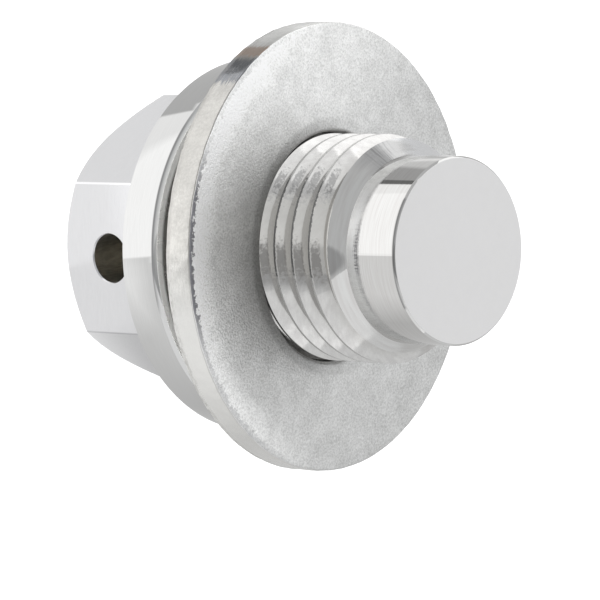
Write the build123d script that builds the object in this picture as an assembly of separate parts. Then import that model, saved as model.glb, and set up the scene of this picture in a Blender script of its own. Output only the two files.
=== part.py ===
from build123d import *
import math
import os

# Oil drain plug with its loose sealing washer, in millimetres.
# The plug stands on its hex head. The origin is the centre of the head's end face,
# +Z runs along the plug to its nose, and the lock-wire hole lies along X.

# Hex head
head_flats = 14.0
head_height = 7.5
head_end_dia = 13.9
wire_hole_dia = 2.6
wire_hole_height = 3.4

# Flange
flange_dia = 20.0
flange_thick = 2.5
flange_front_bevel = 0.2
flange_rear_bevel = 0.1

# Threaded shank, with a metric fine thread of 60 degrees
thread_dia = 12.0
thread_pitch = 1.25
thread_length = 7.8
thread_exit_angle = -40.0
relief_width = 1.65
relief_below_root = 0.1

# Plain nose
nose_dia = 9.8
nose_length = 3.35
nose_bevel = 0.1

# Sealing washer
washer_dia = 23.75
washer_thick = 1.6
washer_clearance = 0.2
washer_rim_bevel = 0.15
washer_bore_bevel = 0.25

# How the loose washer hangs: its bore bears on the thread's crests at two opposite sides
bearing_gap = 0.01
washer_slide = 0.55
washer_high_side = -8.5

# Worked out from the sizes above
flange_face = head_height + flange_thick
thread_end = flange_face + thread_length
crest_r = thread_dia / 2
thread_depth = 0.6134 * thread_pitch
flank_slope = math.tan(math.radians(30))
root_r = crest_r - thread_depth
nose_r = nose_dia / 2
nose_start = thread_end + (crest_r - nose_r)
nose_end = nose_start + nose_length


def hex_head():
    """Hexagon with its free end turned to a 45 degree cone, which cuts only the corners."""
    prism = extrude(RegularPolygon(head_flats / 2, 6, major_radius=False, rotation=30), head_height)
    end_r = head_end_dia / 2
    envelope = Cone(end_r, end_r + head_height, head_height, align=(Align.CENTER, Align.CENTER, Align.MIN))
    return prism & envelope


def flange():
    """Collar that presses on the washer, bevelled at both rims."""
    flange_r = flange_dia / 2
    outline = Polyline(
        (0, head_height),
        (flange_r - flange_rear_bevel, head_height),
        (flange_r, head_height + flange_rear_bevel),
        (flange_r, flange_face - flange_front_bevel),
        (flange_r - flange_front_bevel, flange_face),
        (0, flange_face),
        close=True,
    )
    return revolve(Plane.XZ * make_face(outline), Axis.Z)


def shank_outline():
    """Turned shape of the shank: relief beside the flange, full diameter, cone and plain nose."""
    relief_r = root_r - relief_below_root
    relief_end = flange_face + relief_width
    outline = Polyline(
        (0, head_height),
        (relief_r, head_height),
        (relief_r, relief_end - (crest_r - relief_r)),
        (crest_r, relief_end),
        (crest_r, thread_end),
        (nose_r, nose_start),
        (nose_r, nose_end - nose_bevel),
        (nose_r - nose_bevel, nose_end),
        (0, nose_end),
        close=True,
    )
    return revolve(Plane.XZ * make_face(outline), Axis.Z)


def thread_groove():
    """One right-hand V groove, from inside the relief until it has run out through the cone."""
    groove_start = flange_face + relief_width / 2 - thread_pitch / 4
    groove_end = thread_end + thread_depth + thread_pitch / 2
    path = Helix(thread_pitch, groove_end - groove_start, crest_r, center=(0, 0, groove_start))
    section_plane = Plane(origin=path @ 0, x_dir=(1, 0, 0), z_dir=path % 0)
    outside = thread_pitch / 16
    crest_half = thread_pitch * 7 / 16
    mouth_half = crest_half + outside * flank_slope
    root_half = crest_half - thread_depth * flank_slope
    section = Polyline(
        (outside, -mouth_half),
        (-thread_depth, -root_half),
        (-thread_depth, root_half),
        (outside, mouth_half),
        close=True,
    )
    groove = sweep(section_plane * make_face(section), path=path, is_frenet=True)
    turns_to_end = (thread_end - groove_start) / thread_pitch
    return Rot(Z=thread_exit_angle - 360 * turns_to_end) * groove


def threaded_shank():
    """Round bar with the groove cut in it, then turned down to the shank's outline."""
    bar = Cylinder(crest_r, nose_end, align=(Align.CENTER, Align.CENTER, Align.MIN))
    return (bar - thread_groove()) & shank_outline()


def wire_hole():
    """Lock-wire hole, straight through the head from flat to flat."""
    drill = Cylinder(wire_hole_dia / 2, 2 * head_flats)
    return Pos(Z=wire_hole_height) * Rot(Y=90) * drill


def drain_plug():
    """The plug is one turned and milled piece."""
    return hex_head() - wire_hole() + flange() + threaded_shank()


def washer_lean():
    """Angle at which both ends of the bore's straight wall meet the crests, in degrees."""
    bore = thread_dia + washer_clearance
    wall = washer_thick - 2 * washer_bore_bevel
    width = thread_dia + 2 * bearing_gap
    return math.degrees(math.acos(width / math.hypot(bore, wall)) - math.atan2(wall, bore))


def sealing_washer():
    """Stamped ring with broken edges, leaning on the shank with its low side next to the flange."""
    bore_r = (thread_dia + washer_clearance) / 2
    middle_r = (bore_r + washer_dia / 2) / 2
    section = Pos(middle_r, 0) * Rectangle(washer_dia / 2 - bore_r, washer_thick)
    section = chamfer(section.vertices().group_by(Axis.X)[0], washer_bore_bevel)
    section = chamfer(section.vertices().group_by(Axis.X)[-1], washer_rim_bevel)
    ring = revolve(Plane.XZ * section, Axis.Z)
    lean = math.radians(washer_lean())
    low_r = min(flange_dia / 2 - flange_front_bevel, washer_dia / 2)
    lift = washer_thick / 2 / math.cos(lean) + low_r * math.tan(lean) + washer_slide
    return Pos(Z=flange_face + lift) * Rot(Z=washer_high_side) * Rot(Y=-washer_lean()) * ring


os.makedirs("parts", exist_ok=True)
export_step(drain_plug(), "parts/drain_plug.step")
export_step(sealing_washer(), "parts/sealing_washer.step")
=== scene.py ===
import math

import bmesh
import bpy
from mathutils import Matrix, Vector, noise


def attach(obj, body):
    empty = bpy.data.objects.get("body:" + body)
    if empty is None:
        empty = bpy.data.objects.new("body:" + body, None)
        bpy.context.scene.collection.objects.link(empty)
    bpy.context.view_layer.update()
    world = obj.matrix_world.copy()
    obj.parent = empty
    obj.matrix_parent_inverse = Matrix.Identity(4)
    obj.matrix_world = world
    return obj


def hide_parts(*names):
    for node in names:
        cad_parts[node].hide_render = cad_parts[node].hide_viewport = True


# Oil drain plug with its loose sealing washer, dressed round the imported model.
# Shapes are made in millimetres and scaled to metres at the end.

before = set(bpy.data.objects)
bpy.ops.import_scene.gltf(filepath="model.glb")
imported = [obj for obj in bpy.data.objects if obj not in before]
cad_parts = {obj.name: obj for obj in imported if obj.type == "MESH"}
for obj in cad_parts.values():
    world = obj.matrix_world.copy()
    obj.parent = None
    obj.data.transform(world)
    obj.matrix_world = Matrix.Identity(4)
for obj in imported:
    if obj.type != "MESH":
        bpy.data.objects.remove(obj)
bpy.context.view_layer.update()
mm = 0.001
print("frame loaded:", sorted(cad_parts))


# camera
shot = {
    "heading": -9.471,  # degrees from +X
    "elevation": 44.5,
    "roll": -92.66,
    "aim": (1.002, 2.769, 11.458),  # mm
    "distance": 238.8,
    "lens": 270.0,
    "sensor": 36.0,
    "clip": (0.01, 10),  # metres
}


def wayTo(heading, elevation):
    # unit vector towards a heading and an elevation in degrees
    heading, elevation = math.radians(heading), math.radians(elevation)
    flat = math.cos(elevation)
    return Vector((flat * math.cos(heading), flat * math.sin(heading), math.sin(elevation)))


def viewAxes():
    back = wayTo(shot["heading"], shot["elevation"])
    roll = math.radians(shot["roll"])
    levelRight = Vector((0, 0, 1)).cross(back).normalized()
    levelUp = back.cross(levelRight)
    up = levelUp * math.cos(roll) + levelRight * math.sin(roll)
    return up.cross(back), up, back


def placeCamera():
    right, up, back = viewAxes()
    camera = bpy.data.objects.new("camera", bpy.data.cameras.new("camera"))
    camera.data.lens = shot["lens"]
    camera.data.sensor_width = shot["sensor"]
    camera.data.clip_start, camera.data.clip_end = shot["clip"]
    turn = Matrix((right, up, back)).transposed().to_4x4()
    turn.translation = (Vector(shot["aim"]) + back * shot["distance"]) * mm
    camera.matrix_world = turn
    bpy.context.collection.objects.link(camera)
    bpy.context.scene.camera = camera


placeCamera()
print("camera placed")


# mesh helpers
weldDistance = 0.0005  # mm


def onCircle(radius, angle, height):
    return radius * math.cos(angle), radius * math.sin(angle), height


def roundedLine(corners, steps=3):
    # corners are (across, along, radius); each one with a radius becomes a small arc
    line = []
    for i, (across, along, radius) in enumerate(corners):
        here = Vector((across, along))
        if radius == 0 or i == 0 or i == len(corners) - 1:
            line.append(here)
            continue
        before = (Vector(corners[i - 1][:2]) - here).normalized()
        after = (Vector(corners[i + 1][:2]) - here).normalized()
        half = before.angle(after) / 2
        centre = here + (before + after).normalized() * radius / math.sin(half)
        first = here + before * radius / math.tan(half) - centre
        last = here + after * radius / math.tan(half) - centre
        swing = first.angle_signed(last)
        for s in range(steps + 1):
            turn = Matrix.Rotation(-swing * s / steps, 2)
            line.append(centre + turn @ first)
    return line


def lathe(bm, line, columns, zones, phase=0.0):
    # turns an outline of (radius, height) round Z; zones gives each strip's material
    rings = []
    for radius, height in line:
        if radius < 1e-6:
            rings.append([bm.verts.new((0, 0, height))])
            continue
        ring = []
        for j in range(columns):
            angle = 2 * math.pi * (j + phase) / columns
            ring.append(bm.verts.new(onCircle(radius, angle, height)))
        rings.append(ring)
    for i in range(len(rings) - 1):
        low, high = rings[i], rings[i + 1]
        for j in range(columns):
            k = (j + 1) % columns
            corners = [low[j % len(low)], low[k % len(low)], high[k % len(high)], high[j % len(high)]]
            corners = list(dict.fromkeys(corners))
            if len(corners) > 2:
                bm.faces.new(corners).material_index = zones(line[i], line[i + 1])
    return rings


def meshFrom(bm, name):
    bmesh.ops.recalc_face_normals(bm, faces=bm.faces)
    mesh = bpy.data.meshes.new(name)
    bm.to_mesh(mesh)
    bm.free()
    obj = bpy.data.objects.new(name, mesh)
    bpy.context.collection.objects.link(obj)
    return obj


def combine(obj, tool, how):
    cut = obj.modifiers.new(how, "BOOLEAN")
    cut.operation = how
    cut.solver = "EXACT"
    cut.object = tool
    bpy.context.view_layer.update()
    depsgraph = bpy.context.evaluated_depsgraph_get()
    mesh = bpy.data.meshes.new_from_object(obj.evaluated_get(depsgraph))
    obj.modifiers.clear()
    obj.data = mesh
    bpy.data.objects.remove(tool)


def finishMesh(obj, sharpOver):
    bm = bmesh.new()
    bm.from_mesh(obj.data)
    bmesh.ops.remove_doubles(bm, verts=bm.verts, dist=weldDistance)
    bmesh.ops.dissolve_degenerate(bm, dist=weldDistance, edges=bm.edges)
    bm.to_mesh(obj.data)
    bm.free()
    obj.data.transform(Matrix.Scale(mm, 4))
    obj.data.shade_smooth()
    obj.data.set_sharp_from_angle(angle=math.radians(sharpOver))
    obj.data.update()


# drain plug
plug = {
    "flats": 14.0,
    "headHeight": 7.5,
    "headEnd": 13.9,  # diameter of the turned end face
    "edgeRound": 0.07,
    "wireHole": 2.6,
    "wireHoleHeight": 3.4,
    "wireHoleBreak": 0.07,
    "wireHoleColumns": 72,
    "drillPast": 0.3,  # how far the drill's cone runs past the flat
    "flange": 20.0,
    "flangeFace": 10.0,
    "flangeBevel": 0.2,
    "flangeRound": 0.04,
    "flangeBack": 0.1,  # bevel behind the flange
    "flangeBackRound": 0.03,
    "thread": 12.0,
    "pitch": 1.25,
    "threadDepth": 0.6134,  # part of the pitch
    "grooveWidth": 7 / 8,  # part of the pitch, at the crests
    "flank": 30,  # degrees
    "crestRound": 0.03,
    "rootRound": 0.07,
    "threadEnd": 17.8,
    "grooveHeading": -40.0,  # where the groove's middle passes the thread's end
    "turns": 10,  # of the groove in all, and below the thread's end
    "turnsBelow": 7,
    "toolFrom": 10.333,  # heights and outer radius of the nut that cuts the groove
    "toolTo": 19.2,
    "toolWall": 8,
    "relief": 10.266,
    "reliefEnd": 11.65,
    "reliefRound": 0.15,
    "reliefRise": 0.1,  # rounding where the relief rises to the thread
    "nose": 9.8,
    "noseEnd": 22.25,
    "noseBevel": 0.1,
    "noseRound": 0.04,
    "noseRoot": 0.02,  # rounding where the cone meets the nose
    "columns": 320,
}
# rows of points along the head's edges, mm
headRows = {
    "endInset": 0.15,  # inside the end face's edge
    "endRound": 0.03,
    "endRise": 0.012,
    "coneStep": 0.03,  # below the edge between cone and flat
    "coneShare": 0.3,  # of the cone that those rows may take at most
    "cornerRound": 0.008,
    "flatStep": 0.025,  # above that edge
    "intoFlange": 0.5,
}
# material slots
plugZones = {
    "milledHex": 0,
    "turnedFlange": 1,
    "cutThread": 2,
    "turnedNose": 3,
    "facedEnd": 4,
    "darkBore": 5,
    "flangeFace": 6,
    "highlightedEdge": 7,
}


def headBlock():
    bm = bmesh.new()
    inner = plug["flats"] / 2
    endR = plug["headEnd"] / 2
    edge = plug["edgeRound"]
    half = math.radians(30)  # from a flat's middle to a corner
    # columns crowd round each rounded corner
    spread = math.degrees(edge * math.tan(half) / (inner / math.cos(half)))
    near = [n * spread for n in (-3, -1.6, -1, -0.5, 0, 0.5, 1, 1.6, 3)]
    headings = []
    for corner in range(6):
        middle = 30 + 60 * corner
        headings += [middle + n for n in near]
        headings += [middle + 60 * s / 24 for s in range(1, 24)]
    headings = sorted(h % 360 for h in headings)

    def hexRadius(heading):
        off = (heading + 30) % 60 - 30
        flat = inner / math.cos(math.radians(off))
        # the corner's arc, met by a ray from the axis
        fromCorner = math.radians(abs(abs(off) - 30))
        centre = (inner - edge) / math.cos(half)
        side = min(edge, centre * math.sin(fromCorner))
        arc = centre * math.cos(fromCorner) + math.sqrt(edge ** 2 - side ** 2)
        return arc if math.degrees(fromCorner) < spread else flat

    def columnLine(radius):
        # radius and height of each row, from the end face up into the flange
        meet = radius - endR  # height where the cone meets the hexagon
        rise = plug["headHeight"] - meet
        line = [(endR - headRows["endInset"], 0.0), (endR - headRows["endRound"], 0.0)]
        line.append((endR + headRows["endRound"], headRows["endRise"] + headRows["endRound"]))
        for step in (2, 1):
            back = min(headRows["coneStep"] * step, meet * headRows["coneShare"])
            line.append((radius - back, meet - back))
        line.append((radius - headRows["cornerRound"], meet + headRows["cornerRound"]))
        line += [(radius, meet + headRows["flatStep"] * step) for step in (1, 2, 3)]
        line += [(radius, meet + rise * step / 5) for step in (1, 2, 3, 4)]
        line.append((radius, plug["headHeight"] + headRows["intoFlange"]))
        return line

    columns = [(math.radians(h), columnLine(hexRadius(h))) for h in headings]
    rings = []
    for row in range(len(columns[0][1])):
        spots = [onCircle(line[row][0], angle, line[row][1]) for angle, line in columns]
        rings.append([bm.verts.new(spot) for spot in spots])
    for low, high in zip(rings, rings[1:]):
        for j in range(len(headings)):
            k = (j + 1) % len(headings)
            face = bm.faces.new((low[j], low[k], high[k], high[j]))
            middle = math.degrees(math.atan2(*face.calc_center_median().yx))
            atCorner = abs((middle % 60) - 30) < 1.3 * spread
            face.material_index = plugZones["highlightedEdge" if atCorner else "milledHex"]
    bm.faces.new(rings[0])
    bm.faces.new(rings[-1])
    return meshFrom(bm, "headBlock")


def wireDrill():
    bm = bmesh.new()
    bore = plug["wireHole"] / 2
    flat = plug["flats"] / 2
    broken = plug["wireHoleBreak"]
    past = plug["drillPast"]
    half = [
        (bore, 0.0),
        (bore, flat - broken),
        (bore + broken * 0.5, flat - broken * 0.3),
        (bore + broken + past, flat + past),
    ]
    end = half[-1][1]
    line = [(0, -end)] + [(r, -z) for r, z in reversed(half)] + half[1:] + [(0, end)]

    def zone(a, b):
        return plugZones["darkBore" if max(a[0], b[0]) <= bore + 0.001 else "milledHex"]

    lathe(bm, line, plug["wireHoleColumns"], zone)
    lift = Matrix.Translation((0, 0, plug["wireHoleHeight"]))
    turn = Matrix.Rotation(math.radians(90), 4, "Y")
    bmesh.ops.transform(bm, matrix=lift @ turn, verts=bm.verts)
    return meshFrom(bm, "wireDrill")


def turnedBlank():
    bm = bmesh.new()
    flangeR, relief, crest, nose = (plug[k] / 2 for k in ("flange", "relief", "thread", "nose"))
    bevel, backBevel, tip = plug["flangeBevel"], plug["flangeBack"], plug["noseBevel"]
    over = 0.02  # the thread tool takes this off
    back, face = plug["headHeight"], plug["flangeFace"]
    threadEnd, end = plug["threadEnd"], plug["noseEnd"]
    corners = [
        (0, back, 0),
        (flangeR - backBevel, back, plug["flangeBackRound"]),
        (flangeR, back + backBevel, plug["flangeBackRound"]),
        (flangeR, face - bevel, plug["flangeRound"]),
        (flangeR - bevel, face, plug["flangeRound"]),
        (relief, face, plug["reliefRound"]),
        (relief, plug["reliefEnd"] - crest + relief, plug["reliefRise"]),
        (crest + over, plug["reliefEnd"] + over, 0),
        (crest + over, threadEnd - over, 0),
        (nose, threadEnd + crest - nose, plug["noseRoot"]),
        (nose, end - tip, plug["noseRound"]),
        (nose - tip, end, plug["noseRound"]),
        (0, end, 0),
    ]

    def zone(a, b):
        height = (a[1] + b[1]) / 2
        if a[0] < flangeR - bevel + 0.01 and abs(height - face) < plug["reliefRound"]:
            return plugZones["flangeFace"]
        if height <= face + 0.001:
            return plugZones["turnedFlange"]
        if height < threadEnd - 0.1:
            return plugZones["cutThread"]
        if max(a[0], b[0]) <= nose - tip and height > end - 0.01:
            return plugZones["facedEnd"]
        return plugZones["turnedNose"]

    line = roundedLine(corners, 4)
    lathe(bm, [tuple(p) for p in line], plug["columns"], zone, 0.5)
    return meshFrom(bm, "plugBody")


def threadTool():
    # a nut whose inside is the thread, taken from the blank
    bm = bmesh.new()
    pitch, crest, columns = plug["pitch"], plug["thread"] / 2, plug["columns"]
    depth = plug["threadDepth"] * pitch
    edgeHalf = pitch * plug["grooveWidth"] / 2
    rootHalf = edgeHalf - depth * math.tan(math.radians(plug["flank"]))
    corners = [
        (-pitch / 2, crest, 0),
        (-edgeHalf, crest, plug["crestRound"]),
        (-rootHalf, crest - depth, plug["rootRound"]),
        (rootHalf, crest - depth, plug["rootRound"]),
        (edgeHalf, crest, plug["crestRound"]),
        (pitch / 2, crest, 0),
    ]
    profile = [tuple(p) for p in roundedLine(corners, 3)][:-1]
    low, high = plug["toolFrom"], plug["toolTo"]
    start = plug["threadEnd"] - pitch * plug["grooveHeading"] / 360 - plug["turnsBelow"] * pitch
    rows = []
    for turn in range(plug["turns"]):
        rows += [(start + turn * pitch + along, radius) for along, radius in profile]
    count = len(profile)

    columnsAt = []
    for j in range(columns):
        angle = 2 * math.pi * j / columns
        column = []
        ends = {}  # one shared point at each end of the nut
        for height, radius in rows:
            z = height + pitch * j / columns
            if low < z < high:
                column.append(bm.verts.new(onCircle(radius, angle, z)))
                continue
            end = low if z <= low else high
            if end not in ends:
                ends[end] = bm.verts.new(onCircle(crest - depth, angle, end))
            column.append(ends[end])
        columnsAt.append(column)
    for j in range(columns):
        here = columnsAt[j]
        beyond = columnsAt[(j + 1) % columns]
        shift = count if j == columns - 1 else 0
        for m in range(len(rows) - 1 - shift):
            n = m + shift
            corners = list(dict.fromkeys([here[m], beyond[n], beyond[n + 1], here[m + 1]]))
            if len(corners) > 2:
                bm.faces.new(corners)
    # outer wall and the two ends
    outside = []
    for z in (low, high):
        angles = (2 * math.pi * j / columns for j in range(columns))
        outside.append([bm.verts.new(onCircle(plug["toolWall"], angle, z)) for angle in angles])
    for j in range(columns):
        k = (j + 1) % columns
        bm.faces.new((outside[0][j], outside[0][k], outside[1][k], outside[1][j]))
        bm.faces.new((outside[0][j], outside[0][k], columnsAt[k][0], columnsAt[j][0]))
        bm.faces.new((outside[1][j], outside[1][k], columnsAt[k][-1], columnsAt[j][-1]))
    for face in bm.faces:
        face.material_index = plugZones["cutThread"]
    return meshFrom(bm, "threadTool")


def makePlug(finishes):
    head, drill, body, nut = headBlock(), wireDrill(), turnedBlank(), threadTool()
    # each shape needs all the slots, so that the cuts keep every face's finish
    for shape in (head, drill, body, nut):
        for zone in plugZones:
            shape.data.materials.append(finishes[zone])
    combine(head, drill, "DIFFERENCE")
    combine(body, nut, "DIFFERENCE")
    combine(body, head, "UNION")
    finishMesh(body, sharpOver=28)
    return body


# sealing washer
washer = {
    "outer": 23.75,
    "bore": 12.2,
    "thick": 1.6,
    "rimRound": 0.12,
    "boreRound": 0.22,
    "lean": 5.956,  # degrees
    "highSide": -8.5,
    "middle": 12.377,  # height of its middle
    "columns": 420,
    "rowStep": 0.3,
    "rimWave": 0.02,
    "waveFrom": 0.15,  # how far inside the rim's rounding the wave begins
    "waveFade": 0.2,
    "waveScales": (2.2, 6, 1.3),  # coarse and close in and out, and up and down
}
washerZones = {"blastedFace": 0, "shearedRim": 1, "plainBack": 2}


def makeWasher(finishes):
    bm = bmesh.new()
    outer, bore, half = washer["outer"] / 2, washer["bore"] / 2, washer["thick"] / 2
    rim, inside = washer["rimRound"], washer["boreRound"]
    corners = [
        (bore, 0, 0),
        (bore, -half, inside),
        (outer, -half, rim),
        (outer, half, rim),
        (bore, half, inside),
        (bore, 0, 0),
    ]
    line = [tuple(p) for p in roundedLine(corners, 6)]
    fine = []  # long stretches get rows of their own
    for a, b in zip(line, line[1:]):
        parts = max(1, round(math.dist(a, b) / washer["rowStep"]))
        for s in range(parts):
            fine.append((a[0] + (b[0] - a[0]) * s / parts, a[1] + (b[1] - a[1]) * s / parts))
    fine.append(line[-1])
    rimEdge = outer - rim

    def zone(a, b):
        height = (a[1] + b[1]) / 2
        if max(a[0], b[0]) > rimEdge + 0.6 * rim and abs(height) < half - 0.3 * rim:
            return washerZones["shearedRim"]
        return washerZones["plainBack" if height < -half + 0.01 else "blastedFace"]

    rings = lathe(bm, fine, washer["columns"], zone)
    for first, last in zip(rings[0], rings[-1]):
        last.co = first.co
    bmesh.ops.remove_doubles(bm, verts=bm.verts, dist=weldDistance)
    # the sheared rim is a little uneven
    coarse, close, upDown = washer["waveScales"]
    for vert in bm.verts:
        radius = math.hypot(vert.co.x, vert.co.y)
        if radius > rimEdge - washer["waveFrom"]:
            amount = min(1, (radius - rimEdge + washer["waveFrom"]) / washer["waveFade"])
            sway = noise.noise(vert.co * coarse) + 0.5 * noise.noise(vert.co * close)
            outward = Vector((vert.co.x, vert.co.y, 0)).normalized()
            vert.co += outward * sway * washer["rimWave"] * amount
            lift = noise.noise(vert.co * upDown + Vector((9, 0, 0)))
            vert.co.z += lift * washer["rimWave"] * amount
    place = (
        Matrix.Translation((0, 0, washer["middle"]))
        @ Matrix.Rotation(math.radians(washer["highSide"]), 4, "Z")
        @ Matrix.Rotation(math.radians(-washer["lean"]), 4, "Y")
    )
    bmesh.ops.transform(bm, matrix=place, verts=bm.verts)
    ring = meshFrom(bm, "washerRing")
    finishMesh(ring, sharpOver=60)
    for zoneName in washerZones:
        ring.data.materials.append(finishes[zoneName])
    return ring


# finishes
# light and dark tone, roughness from and to, turned lines to a millimetre, their depth, and
# depth and size of a slow wave, in mm
turnedLooks = {
    "turnedFlange": ((0.65, 0.65, 0.645), (0.62, 0.62, 0.615), 0.02, 0.04, 16, 0.00008, 0.0, 1.2),
    "cutThread": ((0.71, 0.705, 0.69), (0.62, 0.61, 0.60), 0.08, 0.13, 24, 0.00012, 0.005, 1.4),
    "turnedNose": ((0.67, 0.67, 0.66), (0.61, 0.60, 0.59), 0.012, 0.03, 7, 0.0007, 0.0, 1.2),
    # the flange's face: a brighter copy of the turned steel, as a painted highlight in the gap
    "flangeFace": ((0.95, 0.95, 0.93), (0.88, 0.87, 0.85), 0.2, 0.3, 8, 0.0005, 0.0, 1.2),
}
# light and dark tone, roughness
satinLooks = {
    "milledHex": ((0.67, 0.67, 0.68), (0.64, 0.64, 0.65), 0.22),
    "facedEnd": ((0.645, 0.64, 0.64), (0.635, 0.63, 0.63), 0.3),
    "darkBore": ((0.85, 0.82, 0.75), (0.55, 0.53, 0.48), 0.35),
    # the broken edges are lighter than the flats: a painted highlight
    "highlightedEdge": ((0.88, 0.88, 0.89), (0.84, 0.84, 0.85), 0.12),
}
# light and dark tone, roughness, metallic, depth of the grain in mm
blastedLooks = {
    "shearedRim": ((0.55, 0.54, 0.515), (0.47, 0.46, 0.44), 0.22, 1.0, 0.02),
    "plainBack": ((0.95, 0.95, 0.94), (0.88, 0.88, 0.87), 0.5, 0.1, 0.02),
}
# scale, detail and roughness of each noise
noises = {
    "cloud": (0.6, 3.0, 0.5),
    "raggedEnds": (5.0, 2.0, 0.5),
    "satinGrain": (1.0, 3.0, 0.6),
    "satinSpeck": (9.0, 2.0, 0.5),
    "strokes": (0.8, 1.0, 0.5),
    "tornThread": (5.0, 3.0, 0.7),
    "blastGrain": (6.0, 4.0, 0.65),
    "blastCloud": (0.8, 4.0, 0.5),
    "faceGrain": (8.5, 3.0, 0.7),
    "faceCloud": (0.9, 3.0, 0.5),
    "faceSparkle": (13.0, 2.0, 0.6),
    "raggedLine": (4.5, 3.0, 0.7),
    "rimLines": (1.6, 3.0, 0.6),
    "rimTorn": (2.6, 4.0, 0.7),
    "floor": (0.3, 3.0, 0.5),
}
# noise between which a tone or roughness goes from one end to the other
contrasts = {
    "turned": (0.35, 0.65),
    "even": (0.3, 0.7),
    "blasted": (0.8, 1.2),
    "face": (0.5, 0.85),
    "sparkle": (0.6, 0.68),
    "strokes": (0.52, 0.6),
}
plugWearAndPaintedShade = {
    "grainStretch": (1.5, 1.5, 22.0),
    "grainDepth": 0.0006,  # mm
    "lineAlong": 2.0,  # change of the turned lines along the axis, and round it
    "lineRound": 0.06,
    "softEdge": 0.05,  # of the marks, mm
    "edgeShadeTone": (0.56, 0.56, 0.57),  # painted shade: tone of the edges on their darker side
    "edgeShadeFade": (-0.5, 0.5),
    "washerGapShadow": (0.12, 0.115, 0.105),  # painted shadow on the flange's face in the gap under the washer
    "washerGapShadowEdge": (9.35, 9.5),  # radius
    "washerGapShadowStrength": 0.9,
    "cone": (17.7, 18.95, 0.05),  # height from and to, soft edge
    "scratches": (0.2, 0.2, 0.2),
    "scratchAngles": (-84, -68, 3),
    "scratchStrength": 0.7,
    "noseRough": 0.02,
    "dullEnds": ((-70, -55, 0.16, 0.0), (20, 50, 0.0, 0.14)),  # angle from and to, roughness added
    # painted shade deep in the groove: its tone, the radii over which it fades in, and its strength
    "root": (0.48, 0.47, 0.45),
    "rootShadeRadii": (5.15, 5.62),
    "rootShadeStrength": 0.5,
    "rootTorn": -0.25,
    "ragged": 30.0,  # how far the ends of the thread's painted bands wander, degrees
    "raggedSoft": 3,
    "uneven": 0.12,  # how far their sides wander, part of a pitch
    "unevenSoft": 0.008,
}
# painted highlight on the flanks, painted dark reflections on them, and a torn line darkened
# with painted shade beside the crests: angle from and to, part of a pitch from and to, colour,
# strength
threadShadeHighlightAndTear = [
    (-34, 7, 0.50, 0.96, (0.95, 0.93, 0.88), 0.5),
    (-44, 8, 0.44, 0.55, (0.12, 0.12, 0.12), 0.9),
    (-51, -40, 0.62, 0.78, (0.20, 0.20, 0.20), 0.6),
    (-8, 7, 0.58, 0.78, (0.25, 0.24, 0.23), 0.6),
]
# a painted dark reflection and a painted highlight along the flange's front bevel: angle from and
# to, height from and to, soft edge in degrees, colour, strength
flangeBevelPaintedLight = [
    (-48, 12, 9.78, 9.85, 3.0, (0.22, 0.22, 0.22), 0.8),
    (-50, 2, 9.91, 10.05, 5.0, (0.96, 0.96, 0.94), 0.9),
]
# a dark line on the nose's tip bevel, and painted shade and a painted highlight on the cone beside
# it, in the same order
noseAndConePaintedLight = [
    (-40, 30, 22.13, 22.2, 1.0, (0.15, 0.15, 0.15), 0.9),
    (-92, -62, 17.8, 18.95, 6.0, (0.44, 0.44, 0.44), 0.6),
    (-140, -96, 17.8, 18.95, 6.0, (0.90, 0.91, 0.93), 0.8),
]


def startMaterial(name, color, metallic, roughness):
    material = bpy.data.materials.new(name)
    material.use_nodes = True
    tree = material.node_tree
    shader = tree.nodes["Principled BSDF"]
    shader.inputs["Base Color"].default_value = (*color, 1)
    shader.inputs["Metallic"].default_value = metallic
    shader.inputs["Roughness"].default_value = roughness
    return material, tree, shader


def addNode(tree, kind, inputs=None, **settings):
    node = tree.nodes.new(kind)
    for key, value in settings.items():
        setattr(node, key, value)
    for key, value in (inputs or {}).items():
        if isinstance(value, bpy.types.NodeSocket):
            tree.links.new(value, node.inputs[key])
        else:
            node.inputs[key].default_value = value
    return node


def feed(tree, shader, color=None, roughness=None, normal=None):
    for key, value in (("Base Color", color), ("Roughness", roughness), ("Normal", normal)):
        if value is not None:
            tree.links.new(value, shader.inputs[key])


def mathOf(tree, how, *values):
    return addNode(tree, "ShaderNodeMath", dict(enumerate(values)), operation=how).outputs[0]


def times(tree, one, other):
    return mathOf(tree, "MULTIPLY", one, other)


def vectorOf(tree, how, place, by):
    # scaling takes a number, the other kinds take a vector
    key = "Scale" if how == "SCALE" else 1
    node = addNode(tree, "ShaderNodeVectorMath", {0: place, key: by}, operation=how)
    return node.outputs["Value" if how == "DOT_PRODUCT" else "Vector"]


def partsOf(tree, place):
    return addNode(tree, "ShaderNodeSeparateXYZ", {0: place}).outputs


def inMillimetres(tree):
    return vectorOf(tree, "SCALE", addNode(tree, "ShaderNodeTexCoord").outputs["Object"], 1000.0)


def offAxis(tree, parts):
    # what of a place lies across the axis, and its length
    flat = addNode(tree, "ShaderNodeCombineXYZ", {"X": parts["X"], "Y": parts["Y"]}).outputs[0]
    return flat, addNode(tree, "ShaderNodeVectorMath", {0: flat}, operation="LENGTH").outputs["Value"]


def ringPlace(tree, place):
    # distance from the axis, angle round it in degrees, and height
    parts = partsOf(tree, place)
    turn = mathOf(tree, "ARCTAN2", parts["Y"], parts["X"])
    return offAxis(tree, parts)[1], times(tree, turn, 180 / math.pi), parts["Z"]


def onWasher(tree):
    # coordinates of the washer itself in mm: its axis is Z and its middle is the origin
    turn = (0, math.radians(-washer["lean"]), math.radians(washer["highSide"]))
    settings = {"Vector": inMillimetres(tree), "Location": (0, 0, washer["middle"]), "Rotation": turn}
    return addNode(tree, "ShaderNodeMapping", settings, vector_type="TEXTURE").outputs["Vector"]


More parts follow.
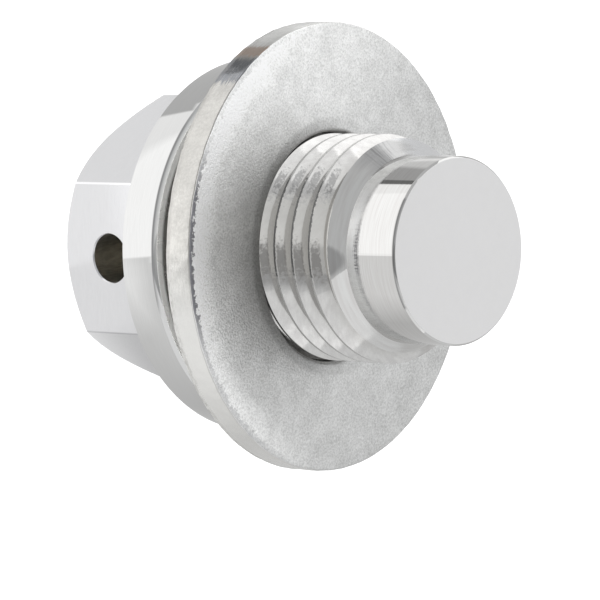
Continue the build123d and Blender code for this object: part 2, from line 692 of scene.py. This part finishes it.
def turnedLines(tree, place):
    # coordinates that hardly change round the axis, so noise becomes fine rings
    parts = partsOf(tree, place)
    flat, radius = offAxis(tree, parts)
    along = mathOf(tree, "MULTIPLY_ADD", parts["Z"], plugWearAndPaintedShade["lineAlong"], radius)
    spin = partsOf(tree, vectorOf(tree, "SCALE", flat, plugWearAndPaintedShade["lineRound"]))
    rings = addNode(tree, "ShaderNodeCombineXYZ", {"X": spin["X"], "Y": spin["Y"], "Z": along})
    return rings.outputs[0]


def noiseOf(tree, place, scale, detail, rough):
    inputs = {"Vector": place, "Scale": scale, "Detail": detail, "Roughness": rough}
    return addNode(tree, "ShaderNodeTexNoise", inputs).outputs[0]


def spanOf(tree, value, low, high, toLow=0.0, toHigh=1.0):
    inputs = {0: value, 1: low, 2: high, 3: toLow, 4: toHigh}
    return addNode(tree, "ShaderNodeMapRange", inputs).outputs[0]


def bandOf(tree, value, low, high, soft):
    rise = spanOf(tree, value, low - soft, low + soft)
    return times(tree, rise, spanOf(tree, value, high - soft, high + soft, 1.0, 0.0))


def bumpOf(tree, height, distance, under=None):
    inputs = {"Height": height, "Distance": distance * mm, "Strength": 1.0}
    if under is not None:
        inputs["Normal"] = under
    return addNode(tree, "ShaderNodeBump", inputs).outputs[0]


def mixColors(tree, amount, one, other):
    # each colour is three numbers or another node's output
    one, other = ((*color, 1) if isinstance(color, tuple) else color for color in (one, other))
    return addNode(tree, "ShaderNodeMix", {0: amount, 6: one, 7: other}, data_type="RGBA").outputs[2]


def turnedSteel(name):
    light, dark, roughLow, roughHigh, lines, lineDepth, wave, waveSize = turnedLooks[name]
    material, tree, shader = startMaterial(name, light, 1.0, roughLow)
    place = inMillimetres(tree)
    fine = noiseOf(tree, turnedLines(tree, place), lines, 3.0, 0.6)
    cloud = noiseOf(tree, place, *noises["cloud"])
    slow = noiseOf(tree, place, waveSize, 2.0, 0.5)
    tone = mixColors(tree, spanOf(tree, fine, *contrasts["turned"]), dark, light)
    rough = spanOf(tree, cloud, *contrasts["even"], roughLow, roughHigh)
    feed(tree, shader, tone, rough, bumpOf(tree, fine, lineDepth, bumpOf(tree, slow, wave)))
    return material, tree, shader, tone


def paintLightBands(finish, paintedBands):
    # paints bands of colour round the axis: painted shade and painted highlight
    material, tree, shader, tone = finish
    place = inMillimetres(tree)
    angle, height = ringPlace(tree, place)[1:]
    rough = noiseOf(tree, turnedLines(tree, place), *noises["raggedEnds"])
    for start, end, low, high, soft, color, strength in paintedBands:
        ragged = mathOf(tree, "MULTIPLY_ADD", rough, 3 * soft, angle)
        turned = bandOf(tree, ragged, start + 1.5 * soft, end + 1.5 * soft, soft)
        level = bandOf(tree, height, low, high, plugWearAndPaintedShade["softEdge"])
        amount = times(tree, times(tree, turned, level), strength)
        tone = mixColors(tree, amount, tone, color)
    feed(tree, shader, tone)
    return material


def satinSteel(name):
    # even satin finish with a fine grain that runs round the head
    light, dark, rough = satinLooks[name]
    material, tree, shader = startMaterial(name, light, 1.0, rough)
    place = inMillimetres(tree)
    drawn = vectorOf(tree, "MULTIPLY", place, plugWearAndPaintedShade["grainStretch"])
    grain = noiseOf(tree, drawn, *noises["satinGrain"])
    speck = noiseOf(tree, place, *noises["satinSpeck"])
    tone = mixColors(tree, spanOf(tree, grain, *contrasts["even"]), dark, light)
    uneven = spanOf(tree, speck, *contrasts["even"], rough - 0.02, rough + 0.03)
    feed(tree, shader, tone, uneven, bumpOf(tree, grain, plugWearAndPaintedShade["grainDepth"]))
    return material, tree, shader, tone


def highlightedEdge():
    # painted highlight on the broken edges, darkened on one side by painted shade
    material, tree, shader, tone = satinSteel("highlightedEdge")
    sideways = partsOf(tree, inMillimetres(tree))["Y"]
    amount = spanOf(tree, sideways, *plugWearAndPaintedShade["edgeShadeFade"])
    feed(tree, shader, mixColors(tree, amount, tone, plugWearAndPaintedShade["edgeShadeTone"]))
    return material


def flangeFace():
    # a brighter copy of the turned steel, a painted highlight in the gap, with painted shadow further
    # in under the washer
    material, tree, shader, tone = turnedSteel("flangeFace")
    radius = ringPlace(tree, inMillimetres(tree))[0]
    washerGapShadow = spanOf(tree, radius, *plugWearAndPaintedShade["washerGapShadowEdge"], plugWearAndPaintedShade["washerGapShadowStrength"], 0.0)
    feed(tree, shader, mixColors(tree, washerGapShadow, tone, plugWearAndPaintedShade["washerGapShadow"]))
    return material


def turnedNose():
    # fine turned lines, short scratches across the top of the cone, a cone that gets duller towards
    # both sides, and painted shade and highlight on the nose and the cone
    material, tree, shader, tone = turnedSteel("turnedNose")
    angle, height = ringPlace(tree, inMillimetres(tree))[1:]
    onCone = bandOf(tree, height, *plugWearAndPaintedShade["cone"])
    across = addNode(tree, "ShaderNodeCombineXYZ", {"X": angle, "Z": height}).outputs[0]
    strokes = noiseOf(tree, across, *noises["strokes"])
    strokes = spanOf(tree, strokes, *contrasts["strokes"], 0.0, plugWearAndPaintedShade["scratchStrength"])
    onTop = bandOf(tree, angle, *plugWearAndPaintedShade["scratchAngles"])
    scratched = times(tree, times(tree, onCone, onTop), strokes)
    tone = mixColors(tree, scratched, tone, plugWearAndPaintedShade["scratches"])
    bothEnds = mathOf(tree, "ADD", *(spanOf(tree, angle, *end) for end in plugWearAndPaintedShade["dullEnds"]))
    duller = times(tree, onCone, bothEnds)
    feed(tree, shader, roughness=mathOf(tree, "ADD", duller, plugWearAndPaintedShade["noseRough"]))
    return paintLightBands((material, tree, shader, tone), noseAndConePaintedLight)


def cutThread():
    # painted shade darkens the groove towards its root; the flanks and crests get painted highlight,
    # painted dark reflections and a torn line with painted shade
    material, tree, shader, tone = turnedSteel("cutThread")
    place = inMillimetres(tree)
    radius, angle, height = ringPlace(tree, place)
    torn = noiseOf(tree, place, *noises["tornThread"])
    deep = mathOf(tree, "MULTIPLY_ADD", torn, plugWearAndPaintedShade["rootTorn"], radius)
    rootShade = spanOf(tree, deep, *plugWearAndPaintedShade["rootShadeRadii"], plugWearAndPaintedShade["rootShadeStrength"], 0.0)
    tone = mixColors(tree, rootShade, tone, plugWearAndPaintedShade["root"])
    # part of a pitch above the groove's middle: the crest is at a half
    first = plug["grooveHeading"] / 360 - plug["threadEnd"] / plug["pitch"]
    back = mathOf(tree, "MULTIPLY_ADD", angle, -1 / 360, first)
    part = mathOf(tree, "FRACT", mathOf(tree, "MULTIPLY_ADD", height, 1 / plug["pitch"], back))
    endShift, sideShift = plugWearAndPaintedShade["ragged"], plugWearAndPaintedShade["uneven"]
    ragged = mathOf(tree, "MULTIPLY_ADD", torn, endShift, angle)
    uneven = mathOf(tree, "MULTIPLY_ADD", torn, sideShift, part)
    # painted highlight and painted dark reflections on the flanks, and the torn line with painted
    # shade beside the crests
    for start, end, low, high, color, strength in threadShadeHighlightAndTear:
        start, end = start + endShift / 2, end + endShift / 2
        low, high = low + sideShift / 2, high + sideShift / 2
        amount = bandOf(tree, ragged, start, end, plugWearAndPaintedShade["raggedSoft"])
        sides = bandOf(tree, uneven, low, high, plugWearAndPaintedShade["unevenSoft"])
        tone = mixColors(tree, times(tree, times(tree, amount, sides), strength), tone, color)
    feed(tree, shader, tone)
    return material


def blasted(name):
    light, dark, rough, metal, depth = blastedLooks[name]
    material, tree, shader = startMaterial(name, light, metal, rough)
    place = inMillimetres(tree)
    grain = noiseOf(tree, place, *noises["blastGrain"])
    both = mathOf(tree, "ADD", grain, noiseOf(tree, place, *noises["blastCloud"]))
    tone = mixColors(tree, spanOf(tree, both, *contrasts["blasted"]), dark, light)
    feed(tree, shader, tone, normal=bumpOf(tree, grain, depth))
    return material, tree, shader, tone


# the washer's finishes: the face's angles are in degrees to either side of its near side, the
# rim's in degrees round its axis, and lengths in mm
washerFinish = {
    "base": (0.9, 0.9, 0.89),
    "light": (1.0, 1.0, 0.99),
    "dark": (0.66, 0.66, 0.65),
    "speck": (1.0, 1.0, 1.0),
    "rough": 0.42,
    "grainDepth": 0.035,
    "cloudShare": 0.35,
    "sparkleStrength": 0.9,
    "brightWay": (0.6, -0.8, 0),
    "duller": 0.75,  # painted shade: brightness of the side turned from the light
    "dullerTo": 8.0,  # mm that way, where it ends
    "farSide": (-10, 0, -0.04, 0.0),  # mm that way from and to, change of brightness
    "near": 2.0,  # angle of the near side round the axis
    "rimHighlightAngles": (45, 85),
    "rimHighlightGain": 1.42,
    "rimHighlightWidth": 1.9,
    "rimHighlightEnd": 0.5,
    "nearFaceShade": 0.88,  # painted shade between the bore and the rim's painted highlight
    "nearFaceShadeFrom": 1.2,  # from the bore, and to so far from the edge
    "nearFaceShadeTo": 2.0,
    "boreAngles": (70, 120),
    "boreShade": 0.78,
    "boreWidth": 0.75,
    "boreSoft": (-0.15, 0.1),
    "edgeLine": (0.13, 0.13, 0.15),
    "edgeAngles": (14, 30, 0.9, 0.3),  # from and to, strength at each
    "edgeEnds": (55, 75, 1.0, 0.0),
    "edgeReach": (0.16, 0.26),
    "rimStretch": (0.8, 0.8, 7.0),
    "rimWobble": 6.0,  # degrees
    "paleReflectionAbove": (-60, -52, 1.0, 0.0),
    "paleReflectionBelow": (4, 22, 0.0, 0.66),
    "streaks": (0.4, 0.6, 0.97, 0.75),
    "blueGreyReflection": (0.27, 0.28, 0.30),
    "blueReflectionAngles": (-50.5, -41, 0.7),  # from and to, soft edge
    "brownReflection": (0.50, 0.39, 0.32),
    "brownReflectionAngles": (-56.5, -52, 0.6),
    "brownReflectionStrength": 0.85,
    # colour of the painted pale reflections
    "pale": (0.95, 0.95, 0.93),
    "paleReflectionStrength": 0.95,
    "torn": (0.40, 0.39, 0.37),
    "tornStretch": (1.0, 1.0, 2.5),
    "tornHeights": (-0.6, -0.4, 1.0, 0.0),
    "tornSpots": (0.45, 0.58, 0.0, 0.5),
    "tornDepth": 0.008,
    "rimRough": 0.2,  # and as much again on the torn half
}


def blastedFace():
    look = washerFinish
    material, tree, shader = startMaterial("blastedFace", look["base"], 1.0, look["rough"])
    place = inMillimetres(tree)
    grain = noiseOf(tree, place, *noises["faceGrain"])
    cloud = noiseOf(tree, place, *noises["faceCloud"])
    speck = noiseOf(tree, place, *noises["faceSparkle"])
    both = mathOf(tree, "MULTIPLY_ADD", cloud, look["cloudShare"], grain)
    tone = mixColors(tree, spanOf(tree, both, *contrasts["face"]), look["dark"], look["light"])
    sparkle = spanOf(tree, speck, *contrasts["sparkle"], 0.0, look["sparkleStrength"])
    tone = mixColors(tree, sparkle, tone, look["speck"])
    # painted shade: the face gets darker away from its lit side
    toBright = vectorOf(tree, "DOT_PRODUCT", place, look["brightWay"])
    ramp = {0: toBright, 1: 0.0, 2: look["dullerTo"], 3: look["duller"], 4: 1.0}
    shade = addNode(tree, "ShaderNodeMapRange", ramp, interpolation_type="SMOOTHSTEP").outputs[0]
    shade = mathOf(tree, "ADD", shade, spanOf(tree, toBright, *look["farSide"]))
    # on the near side a painted highlight lies along the rim and painted shade between it and the
    # bore, and there is painted shade round the bore
    radius, angle = ringPlace(tree, onWasher(tree))[:2]
    offNear = mathOf(tree, "ABSOLUTE", mathOf(tree, "SUBTRACT", angle, look["near"]))
    edge, bore = washer["outer"] / 2, washer["bore"] / 2
    lip = bore + look["boreWidth"]
    nearSide = spanOf(tree, offNear, *look["rimHighlightAngles"], 1.0, 0.0)
    boreSide = spanOf(tree, offNear, *look["boreAngles"], 1.0, 0.0)
    inner, outer = edge - look["rimHighlightWidth"], edge - look["rimHighlightEnd"]
    rimHighlight = spanOf(tree, radius, inner, outer, 0.0, look["rimHighlightGain"] - 1)
    shaded = spanOf(tree, radius, *(lip + r for r in look["boreSoft"]), look["boreShade"] - 1, 0.0)
    inner, outer = bore + look["nearFaceShadeFrom"], edge - look["nearFaceShadeTo"]
    nearFaceShade = spanOf(tree, radius, inner, outer, look["nearFaceShade"] - 1, 0.0)
    change = mathOf(tree, "ADD", times(tree, nearSide, rimHighlight), times(tree, boreSide, shaded))
    change = mathOf(tree, "ADD", change, times(tree, nearSide, nearFaceShade))
    lit = vectorOf(tree, "SCALE", tone, times(tree, shade, mathOf(tree, "ADD", change, 1.0)))
    # uneven dark line where the face meets the rim
    reach = mathOf(tree, "ADD", noiseOf(tree, place, *noises["raggedLine"]), radius)
    strong = spanOf(tree, offNear, *look["edgeAngles"])
    strong = times(tree, strong, spanOf(tree, offNear, *look["edgeEnds"]))
    line = times(tree, spanOf(tree, reach, *(edge + r for r in look["edgeReach"])), strong)
    tone = mixColors(tree, line, lit, look["edgeLine"])
    feed(tree, shader, tone, normal=bumpOf(tree, grain, look["grainDepth"]))
    return material


def shearedRim():
    look = washerFinish
    material, tree, shader, tone = blasted("shearedRim")
    local = onWasher(tree)
    angle, height = ringPlace(tree, local)[1:]
    # painted reflections on the rim beside the top: pale, blue-grey and brown bands, with the shear's
    # fine lines in them
    drawn = vectorOf(tree, "MULTIPLY", local, look["rimStretch"])
    lines = noiseOf(tree, drawn, *noises["rimLines"])
    wobble = mathOf(tree, "MULTIPLY_ADD", lines, look["rimWobble"], angle)
    streaks = spanOf(tree, lines, *look["streaks"])
    reflectionsAndTear = [
        (times(tree, spanOf(tree, wobble, *look["paleReflectionAbove"]), look["paleReflectionStrength"]), "pale"),
        (spanOf(tree, wobble, *look["paleReflectionBelow"]), "pale"),
        (times(tree, bandOf(tree, wobble, *look["blueReflectionAngles"]), streaks), "blueGreyReflection"),
        (times(tree, bandOf(tree, wobble, *look["brownReflectionAngles"]), look["brownReflectionStrength"]), "brownReflection"),
    ]
    # the back half of the edge is torn and mottled
    drawn = vectorOf(tree, "MULTIPLY", local, look["tornStretch"])
    torn = noiseOf(tree, drawn, *noises["rimTorn"])
    backHalf = spanOf(tree, height, *look["tornHeights"])
    reflectionsAndTear.append((times(tree, backHalf, spanOf(tree, torn, *look["tornSpots"])), "torn"))
    for amount, color in reflectionsAndTear:
        tone = mixColors(tree, amount, tone, look[color])
    rough = mathOf(tree, "ADD", times(tree, backHalf, look["rimRough"]), look["rimRough"])
    feed(tree, shader, tone, rough, bumpOf(tree, torn, look["tornDepth"]))
    return material


finishes = {
    "milledHex": satinSteel("milledHex")[0],
    "turnedFlange": paintLightBands(turnedSteel("turnedFlange"), flangeBevelPaintedLight),
    "cutThread": cutThread(),
    "turnedNose": turnedNose(),
    "facedEnd": satinSteel("facedEnd")[0],
    "darkBore": satinSteel("darkBore")[0],
    "flangeFace": flangeFace(),
    "highlightedEdge": highlightedEdge(),
    "blastedFace": blastedFace(),
    "plainBack": blasted("plainBack")[0],
    "shearedRim": shearedRim(),
}
print("finishes made")

plugBody = makePlug(finishes)
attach(plugBody, "root")
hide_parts("drain_plug")
print("plug made:", len(plugBody.data.polygons), "faces")

washerRing = makeWasher(finishes)
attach(washerRing, "root")
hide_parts("sealing_washer")
print("washer made:", len(washerRing.data.polygons), "faces")


# floor and light
studio = {
    "floorRadius": 1.5,  # metres
    "floorTone": 0.9,
    "floorRough": 0.8,
    "floorGlow": 0.9,  # light on the floor from straight above
    "sky": (0.98, 0.99, 1.0),
    "skyGlow": 0.64,
    "topGlow": 0.12,  # added straight above
    "topFrom": 0.87,  # sine of the elevation where that begins, and where it is full
    "topTo": 0.93,
    "darkHeading": 9,  # the dark corner beside the camera
    "darkElevation": 56,
    "darkGlow": 0.41,
    "darkFrom": 16.5,  # degrees from its middle where it begins, and where it is darkest
    "darkTo": 14.5,
    "boxDistance": 0.6,  # metres
    "boxAim": (0, 0, 12),  # mm
    "sunHeight": 900,  # mm
    "cardMiddle": (-10.5, 4.7, 0),  # mm
    "cardTurn": -5,  # degrees
    "cardBase": 0.62,  # brightness where there is no card
    "cardDepth": 0.5,  # mm under the floor
}
# soft boxes that the metal mirrors: heading, elevation, width and height in degrees, brightness
softBoxes = {
    "right": (-144, 20, 42, 36, 0.80),
    "rightTop": (-113, 47, 32, 30, 0.45),
    "behind": (172, 42, 44, 44, 0.48),
    "fill": (57, 34, 72, 26, 0.36),
    "fillTop": (88, 54, 46, 24, 0.24),
    "low": (118, 20, 50, 40, 0.14),
}
# panels close to the washer: spot that each one faces, heading, elevation, distance, width and
# height in mm, brightness
panels = {
    "nearSide": ((8, -4, 13.4), -38, 55, 46, 24, 24, 1.6),
    "underSide": ((9.5, -1, 12.0), -9, -35, 14, 14, 5, 0.3),
}
# light cards round the object, seen only where the metal mirrors them, in mm from the middle of
# the picture: across from and to, along from and to, soft edge across and along, brightness
cards = {
    "side": (17.9, 70, -60, -2.2, 0.4, 0.6, 1.18),
    "sideBright": (20.6, 70, -60, -2.2, 6, 0.6, 1.40),
    "sideTop": (16.2, 70, -60, -22.5, 0.4, 1, 1.26),
    "sideFar": (32, 70, -30, -1.0, 3, 0.6, 1.32),
    "middle": (-40, 22, -15.5, 3.0, 4, 3, 1.02),
    "nearFoot": (17, 24, -4, 3, 3, 3, 1.06),
    "below": (22, 32, -8, 8, 10, 14, 1.16),
    "belowFar": (22, 80, -8, 30, 20, 10, 0.93),
    "top": (-34, 1, -48, -22, 3, 3, 1.0),
}
# dark flags over the cards, with the part of the light that they leave
flags = {
    "noseShade": (-20, 16.0, -60, -25.5, 2, 2, 0.76),
    "noseLine": (12.8, 16.0, -60, -25.5, 0.6, 1, 0.42),
}


def onGround(tree):
    # across and along, in mm from the middle of the picture
    place = vectorOf(tree, "SUBTRACT", inMillimetres(tree), studio["cardMiddle"])
    settings = {"Vector": place, "Rotation": (0, 0, -math.radians(studio["cardTurn"]))}
    parts = partsOf(tree, addNode(tree, "ShaderNodeMapping", settings).outputs["Vector"])
    return parts["X"], parts["Y"]


def groundDisc(name):
    bm = bmesh.new()
    bmesh.ops.create_circle(bm, cap_ends=True, segments=96, radius=studio["floorRadius"])
    disc = meshFrom(bm, name)
    return disc


def makeFloor():
    floor = groundDisc("floor")
    pale = (studio["floorTone"],) * 3
    material, tree, shader = startMaterial("paleFloor", pale, 0.0, studio["floorRough"])
    shader.inputs["Specular IOR Level"].default_value = 0.0
    grain = noiseOf(tree, inMillimetres(tree), *noises["floor"])
    feed(tree, shader, mixColors(tree, grain, pale, (1, 1, 1)))
    floor.data.materials.append(material)
    floor.visible_glossy = False
    return floor


def cardArea(tree, spot, left, right, near, far, softAcross, softAlong):
    sideways = bandOf(tree, spot[0], left, right, softAcross / 2)
    return times(tree, sideways, bandOf(tree, spot[1], near, far, softAlong / 2))


def makeCards():
    # the metal mirrors this sheet instead of the floor
    sheet = groundDisc("cards")
    sheet.location.z = -studio["cardDepth"] * mm
    material = bpy.data.materials.new("lightCards")
    material.use_nodes = True
    tree = material.node_tree
    tree.nodes.clear()
    spot = onGround(tree)
    glow = studio["cardBase"]
    for *area, cardGlow in cards.values():
        card = spanOf(tree, cardArea(tree, spot, *area), 0, 1, studio["cardBase"], cardGlow)
        glow = mathOf(tree, "MAXIMUM", card, glow)
    for *area, kept in flags.values():
        glow = times(tree, glow, spanOf(tree, cardArea(tree, spot, *area), 0, 1, 1, kept))
    light = addNode(tree, "ShaderNodeEmission", {"Strength": glow})
    addNode(tree, "ShaderNodeOutputMaterial", {"Surface": light.outputs[0]})
    material.cycles.emission_sampling = "NONE"
    sheet.data.materials.append(material)
    for ray in ("camera", "diffuse", "shadow", "transmission"):
        setattr(sheet, "visible_" + ray, False)


def makeSky():
    world = bpy.data.worlds.new("studio")
    world.use_nodes = True
    tree = world.node_tree
    back = tree.nodes["Background"]
    back.inputs["Color"].default_value = (*studio["sky"], 1)
    place = addNode(tree, "ShaderNodeTexCoord").outputs["Generated"]
    toCorner = wayTo(studio["darkHeading"], studio["darkElevation"])
    nearness = vectorOf(tree, "DOT_PRODUCT", place, toCorner)
    begin, darkest = (math.cos(math.radians(studio[k])) for k in ("darkFrom", "darkTo"))
    side = spanOf(tree, nearness, begin, darkest, studio["skyGlow"], studio["darkGlow"])
    height = partsOf(tree, place)["Z"]
    above = spanOf(tree, height, studio["topFrom"], studio["topTo"], 0.0, studio["topGlow"])
    tree.links.new(mathOf(tree, "ADD", side, above), back.inputs["Strength"])
    bpy.context.scene.world = world


def groupOf(name, *objects):
    group = bpy.data.collections.new(name)
    for obj in objects:
        group.objects.link(obj)
    return group


def placeLamp(name, light, spot, way, distance, lights):
    lamp = bpy.data.objects.new(name, light)
    lamp.location = (Vector(spot) + way * distance) * mm
    lamp.rotation_mode = "QUATERNION"
    lamp.rotation_quaternion = way.to_track_quat("Z", "Y")
    lamp.visible_camera = False
    lamp.light_linking.receiver_collection = lights
    bpy.context.collection.objects.link(lamp)
    return lamp


def areaLight(name, width, height, glow):
    light = bpy.data.lights.new(name, "AREA")
    light.shape = "RECTANGLE"
    light.size, light.size_y = width, height
    light.energy = glow * math.pi * light.size * light.size_y
    return light


def makeSoftBox(lights, name, heading, elevation, width, height, glow):
    distance = studio["boxDistance"]
    sizes = (2 * distance * math.tan(math.radians(side / 2)) for side in (width, height))
    light = areaLight(name, *sizes, glow)
    placeLamp(name, light, studio["boxAim"], wayTo(heading, elevation), distance / mm, lights)


def makePanel(lights, name, spot, heading, elevation, distance, width, height, glow):
    light = areaLight(name, width * mm, height * mm, glow)
    placeLamp(name, light, spot, wayTo(heading, elevation), distance, lights)


def makeFloorLight(lights):
    light = bpy.data.lights.new("floorLight", "SUN")
    light.energy = studio["floorGlow"] * math.pi
    up = Vector((0, 0, 1))
    lamp = placeLamp("floorLight", light, (0, 0, 0), up, studio["sunHeight"], lights)
    lamp.light_linking.blocker_collection = lights


floor = makeFloor()
makeCards()
makeSky()
metal = groupOf("metal", plugBody, washerRing)
ground = groupOf("ground", floor)
ringOnly = groupOf("ringOnly", washerRing)
for name, values in softBoxes.items():
    makeSoftBox(metal, name, *values)
for name, values in panels.items():
    makePanel(ringOnly, name, *values)
makeFloorLight(ground)
bpy.context.scene.view_settings.view_transform = "Standard"
print("studio set")
